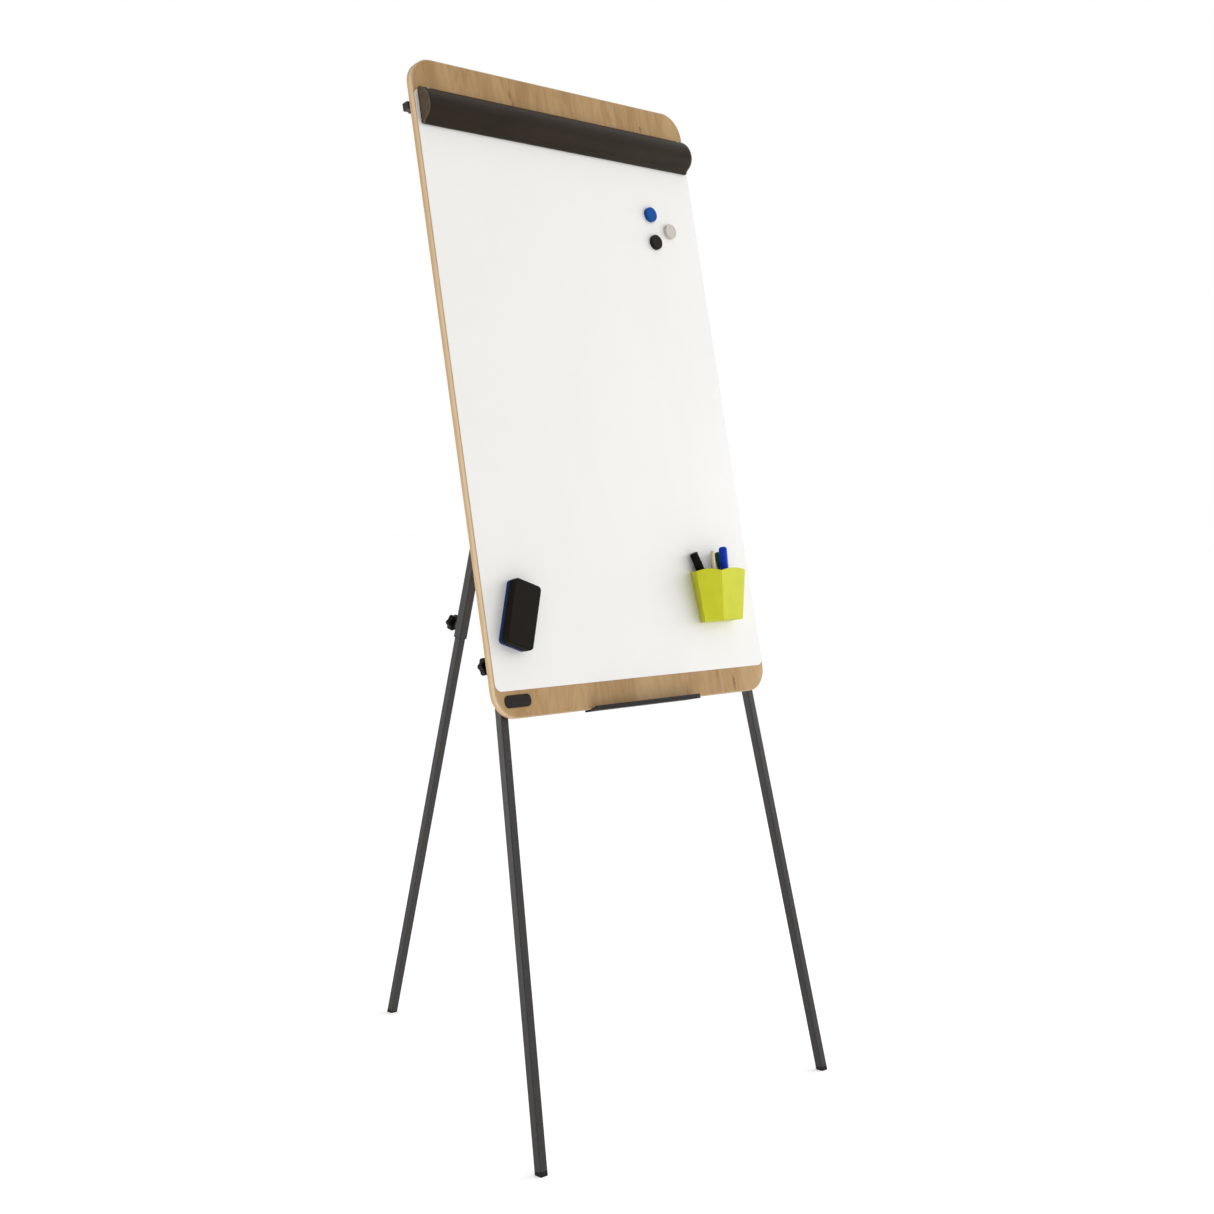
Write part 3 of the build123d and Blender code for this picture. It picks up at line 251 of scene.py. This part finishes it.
def zinc_steel():
    """Zinc-plated sheet and screws: bright, faintly brushed, with a cloudy passivation tint."""
    graph = Graph("zinc_steel", 0.35, Metallic=1.0)
    cloud = graph.noise(graph.place(), 90, 4, 0.6)
    brushed = graph.noise(graph.place((1, 1, 0.06)), 900, 2, 0.5)
    colour = graph.ramp(cloud, [(0.3, (0.36, 0.36, 0.355)), (0.7, (0.48, 0.475, 0.45))])
    graph.set("Base Color", colour)
    graph.set("Roughness", graph.span(brushed, 0.26, 0.46, 0.3, 0.7))
    rounded, _ = graph.edges(0.0004)
    graph.set("Normal", graph.bump(brushed, 0.00003, 0.4, rounded))
    return graph.material


def aluminium_rail():
    """Anodised extrusion with die lines along its length."""
    graph = Graph("aluminium_rail", 0.38, Metallic=1.0)
    lines = graph.noise(graph.place((0.02, 1, 1)), 1500, 3, 0.6)
    graph.set("Base Color", graph.ramp(lines, [(0.3, (0.55, 0.55, 0.56)), (0.7, (0.66, 0.66, 0.67))]))
    graph.set("Roughness", graph.span(lines, 0.3, 0.45, 0.3, 0.7))
    graph.set("Normal", graph.bump(lines, 0.00003, 0.4))
    return graph.material


# ---- Plastics, rubber and felt ----


MOULD_GRAIN = 900
MOULD_RELIEF = 0.00003


def moulded(name, dark, light, roughness=0.4, gloss=0.15, edge=0.0006, highlight_lift=1.6):
    """Moulded plastic: slight flow mottling, spark-eroded grain and edges painted lighter as a
    highlight.
    """
    graph = Graph(name, roughness, Specular_IOR_Level=gloss)
    flow = graph.noise(graph.place(), 45, 4, 0.6, 0.4)
    pits = graph.noise(graph.place(), MOULD_GRAIN, 2, 0.5)
    base = graph.ramp(flow, [(0.3, dark), (0.7, light)])
    rounded, mask = graph.edges(edge)
    # Painted highlight: the colour is mixed towards a lighter tone along sharp edges.
    highlight_tone = tuple(min(1.0, channel * highlight_lift) for channel in light)
    graph.set("Base Color", graph.mix(graph.math("MULTIPLY", mask, 0.35), base, highlight_tone))
    graph.set("Roughness", graph.span(flow, roughness - 0.06, roughness + 0.08, 0.3, 0.7))
    graph.set("Normal", graph.bump(pits, MOULD_RELIEF, 0.5, rounded))
    return graph.material


def clamp_plastic():
    """Extruded clamp profile: dark brown-grey with faint die lines along the bar."""
    graph = Graph("clamp_plastic", 0.42, Specular_IOR_Level=0.09)
    lines = graph.noise(graph.place((0.012, 1, 1)), 700, 3, 0.6)
    flow = graph.noise(graph.place((0.3, 1, 1)), 30, 3)
    base = graph.ramp(flow, [(0.3, (0.0185, 0.0118, 0.0070)), (0.7, (0.0245, 0.0162, 0.0102))])
    graph.set("Base Color", base)
    graph.set("Roughness", graph.span(lines, 0.38, 0.5, 0.3, 0.7))
    graph.set("Normal", graph.bump(lines, 0.00002, 0.4))
    return graph.material


def rubber():
    graph = Graph("black_rubber", 0.72, Specular_IOR_Level=0.15)
    grime = graph.noise(graph.place(), 220, 5, 0.65)
    colour = graph.ramp(grime, [(0.3, (0.008, 0.007, 0.006)), (0.75, (0.028, 0.025, 0.022))])
    graph.set("Base Color", colour)
    graph.set("Roughness", graph.span(grime, 0.62, 0.85, 0.3, 0.7))
    graph.set("Normal", graph.bump(grime, 0.00008, 0.6))
    return graph.material


def felt():
    """Pressed wool felt: matted fibres, soft nap and a dusting of dry ink."""
    graph = Graph("blue_felt", 0.95, Specular_IOR_Level=0.1, Sheen_Weight=0.08, Sheen_Roughness=0.4)
    mat = graph.noise(graph.place(), 700, 6, 0.75, 1.2)
    dust = graph.noise(graph.place(), 35, 3, 0.6)
    base = graph.ramp(mat, [(0.25, (0.004, 0.022, 0.09)), (0.75, (0.011, 0.055, 0.20))])
    graph.set("Base Color", graph.mix(graph.span(dust, 0, 0.25, 0.5, 0.8), base, (0.02, 0.02, 0.03)))
    graph.set("Normal", graph.bump(mat, 0.0006, 0.8))
    return graph.material


def eraser_foam():
    """Closed-cell foam block: fine open pores and edges painted lighter as a highlight."""
    graph = Graph("eraser_foam", 0.7, Specular_IOR_Level=0.08)
    cells = graph.add("TexVoronoi", {"Vector": graph.place(), "Scale": 1100}).outputs["Distance"]
    smear = graph.noise(graph.place(), 60, 4, 0.6)
    base = graph.ramp(smear, [(0.3, (0.007, 0.005, 0.0035)), (0.7, (0.014, 0.0105, 0.008))])
    rounded, mask = graph.edges(0.0015)
    # Painted highlight: edges are mixed towards a lighter brown-grey.
    graph.set("Base Color", graph.mix(graph.math("MULTIPLY", mask, 0.4), base, (0.035, 0.031, 0.028)))
    graph.set("Roughness", graph.span(smear, 0.6, 0.8, 0.3, 0.7))
    graph.set("Normal", graph.bump(cells, 0.0002, 0.5, rounded))
    return graph.material


def lime_plastic():
    """Lime polypropylene: slightly translucent, satin, with a soft moulding grain."""
    depth = {"Subsurface_Weight": 0.1, "Subsurface_Scale": 0.003}
    graph = Graph("lime_plastic", 0.38, Specular_IOR_Level=0.06, **depth)
    flow = graph.noise(graph.place(), 28, 3, 0.55)
    pits = graph.noise(graph.place(), 1300, 2, 0.5)
    base = graph.ramp(flow, [(0.3, (0.525, 0.545, 0.022)), (0.7, (0.585, 0.60, 0.030))])
    rounded, mask = graph.edges(0.0009)
    # Painted highlight: sharp edges are mixed towards a lighter lime.
    graph.set("Base Color", graph.mix(graph.math("MULTIPLY", mask, 0.5), base, (0.62, 0.64, 0.01)))
    graph.set("Roughness", graph.span(flow, 0.32, 0.46, 0.3, 0.7))
    graph.set("Normal", graph.bump(pits, 0.00003, 0.4, rounded))
    return graph.material


MATERIALS = {
    "oak_board": oak_board(),
    "oak_edging": oak_edging(),
    "white_enamel": white_enamel(),
    "badge_plastic": moulded("badge_plastic", (0.012, 0.0095, 0.008), (0.018, 0.015, 0.013), 0.25),
    "black_steel_tube": powder_coat(
        "powder_coat", (0.022, 0.0185, 0.0155), (0.034, 0.0295, 0.025), 0.3
    ),
    "zinc_steel": zinc_steel(),
    "aluminium_rail": aluminium_rail(),
    "dark_plastic": moulded(
        "dark_plastic", (0.014, 0.013, 0.012), (0.024, 0.022, 0.021), 0.45, 0.25
    ),
    "black_rubber": rubber(),
    "clamp_plastic": clamp_plastic(),
    # The end cap's edges get a stronger painted highlight, a light rim.
    "clamp_cap_plastic": moulded(
        "clamp_cap_plastic", (0.070, 0.047, 0.028), (0.105, 0.074, 0.048), 0.42, highlight_lift=2.5
    ),
    "arm_cap_plastic": moulded(
        "arm_cap_plastic", (0.03, 0.029, 0.028), (0.05, 0.048, 0.046), 0.45
    ),
    "knob_plastic": moulded(
        "knob_plastic", (0.004, 0.0035, 0.003), (0.008, 0.007, 0.006), 0.35, 0.09, edge=0.001
    ),
    "magnet_blue_plastic": moulded(
        "magnet_blue", (0.002, 0.060, 0.26), (0.004, 0.085, 0.34), 0.3, 0.08
    ),
    "magnet_grey_plastic": moulded(
        "magnet_grey", (0.53, 0.49, 0.43), (0.61, 0.57, 0.51), 0.34, highlight_lift=1.2
    ),
    "magnet_black_plastic": moulded(
        "magnet_black", (0.012, 0.009, 0.008), (0.018, 0.014, 0.011), 0.3, 0.08
    ),
    "magnet_core": moulded("magnet_core", (0.05, 0.05, 0.05), (0.09, 0.09, 0.09), 0.6),
    "eraser_foam": eraser_foam(),
    "blue_felt": felt(),
    "lime_plastic": lime_plastic(),
    "marker_barrel_plastic": moulded(
        "marker_barrel", (0.74, 0.74, 0.73), (0.84, 0.84, 0.83), 0.25, highlight_lift=1.1
    ),
    "marker_black_plastic": moulded(
        "marker_black", (0.004, 0.003, 0.003), (0.008, 0.006, 0.005), 0.25, 0.06
    ),
    "marker_blue_plastic": moulded(
        "marker_blue", (0.001, 0.028, 0.36), (0.002, 0.042, 0.46), 0.28, 0.12
    ),
    "marker_green_plastic": moulded(
        "marker_green", (0.010, 0.075, 0.028), (0.018, 0.105, 0.042), 0.28, 0.12
    ),
    "cream_wood": cream_wood(),
}

# The tray's coat is darker than the tubes'.
OWN_FINISH = {
    "pen_tray": powder_coat("tray_coat", (0.011, 0.009, 0.0075), (0.017, 0.014, 0.012), 0.15),
}

for subpart in record["subparts"]:
    for slot in nodes[subpart["node"]].material_slots:
        slot.material = OWN_FINISH.get(subpart["node"], MATERIALS[subpart["material_slot"]])

# ---- Floor, light and camera ----

FLOOR_REACH = 40
FLOOR_GLOW = 0.3
WORLD_LOW = 0.1
WORLD_HIGH = 1.16
WORLD_TOWARDS = (0.8, -0.5, 0.45)
LIGHT_SIZE = 1.8
LIGHT_AIM = (0, 0, 1.0)
LIGHTS = (  # name, place and power in watts
    ("side_right", (3.3, -0.9, 1.5), 42),
    ("rim_left", (-2.6, 1.8, 0.7), 32),
)
CAMERA_PLACE = (-2.227, -2.4838, 1.1107)
CAMERA_TILT = radians(88.471)
CAMERA_TURN = radians(-44.552)
CAMERA_LENS = 50.22
CAMERA_SHIFT = -0.0511
VIEW_DEPTH = 100


def pale_floor():
    graph = Graph("pale_floor", 0.6, Specular_IOR_Level=0.1)
    tone = graph.noise(graph.place(turn=(0, 0, 0)), 1.2, 3)
    graph.set("Base Color", graph.ramp(tone, [(0.3, (0.9, 0.9, 0.9)), (0.7, (0.92, 0.92, 0.92))]))
    graph.shader.inputs["Emission Color"].default_value = (1, 1, 1, 1)
    graph.shader.inputs["Emission Strength"].default_value = FLOOR_GLOW
    return graph.material


def make_floor():
    mesh = bpy.data.meshes.new("studio_floor")
    signs = ((-1, -1), (1, -1), (1, 1), (-1, 1))
    corners = [(across * FLOOR_REACH, along * FLOOR_REACH, 0) for across, along in signs]
    mesh.from_pydata(corners, [], [(0, 1, 2, 3)])
    floor = bpy.data.objects.new("studio_floor", mesh)
    floor.data.materials.append(pale_floor())
    bpy.context.scene.collection.objects.link(floor)


def soft_light(name, place, power):
    light = bpy.data.lights.new(name, "AREA")
    light.shape = "DISK"
    light.size = LIGHT_SIZE
    light.energy = power
    lamp = bpy.data.objects.new(name, light)
    lamp.location = place
    aim = [there - here for here, there in zip(place, LIGHT_AIM)]
    lamp.rotation_euler = Vector(aim).to_track_quat("-Z", "Y").to_euler()
    bpy.context.scene.collection.objects.link(lamp)


def studio_world():
    """Soft surround that grows brighter towards one side; the camera sees it as plain white."""
    world = bpy.data.worlds.new("studio")
    world.use_nodes = True
    tree = world.node_tree
    background = tree.nodes["Background"]
    way = tree.nodes.new("ShaderNodeTexCoord").outputs["Generated"]
    along = tree.nodes.new("ShaderNodeVectorMath")
    along.operation = "DOT_PRODUCT"
    along.inputs[1].default_value = Vector(WORLD_TOWARDS).normalized()
    glow = tree.nodes.new("ShaderNodeMapRange")
    glow.inputs["From Min"].default_value = -1
    glow.inputs["To Min"].default_value = WORLD_LOW
    glow.inputs["To Max"].default_value = WORLD_HIGH
    seen = tree.nodes.new("ShaderNodeLightPath").outputs["Is Camera Ray"]
    plain = tree.nodes.new("ShaderNodeMix")
    plain.inputs["B"].default_value = 1
    tree.links.new(way, along.inputs[0])
    tree.links.new(along.outputs["Value"], glow.inputs["Value"])
    tree.links.new(seen, plain.inputs["Factor"])
    tree.links.new(glow.outputs["Result"], plain.inputs["A"])
    tree.links.new(plain.outputs["Result"], background.inputs["Strength"])
    background.inputs["Color"].default_value = (1, 1, 1, 1)
    bpy.context.scene.world = world


def make_camera():
    data = bpy.data.cameras.new("camera")
    data.sensor_width = 36
    data.lens = CAMERA_LENS
    data.shift_y = CAMERA_SHIFT
    data.clip_end = VIEW_DEPTH
    camera = bpy.data.objects.new("camera", data)
    camera.location = CAMERA_PLACE
    camera.rotation_euler = (CAMERA_TILT, 0, CAMERA_TURN)
    bpy.context.scene.collection.objects.link(camera)
    bpy.context.scene.camera = camera


make_floor()
studio_world()
for light_name, light_place, light_power in LIGHTS:
    soft_light(light_name, light_place, light_power)
make_camera()
bpy.context.scene.view_settings.view_transform = "Standard"
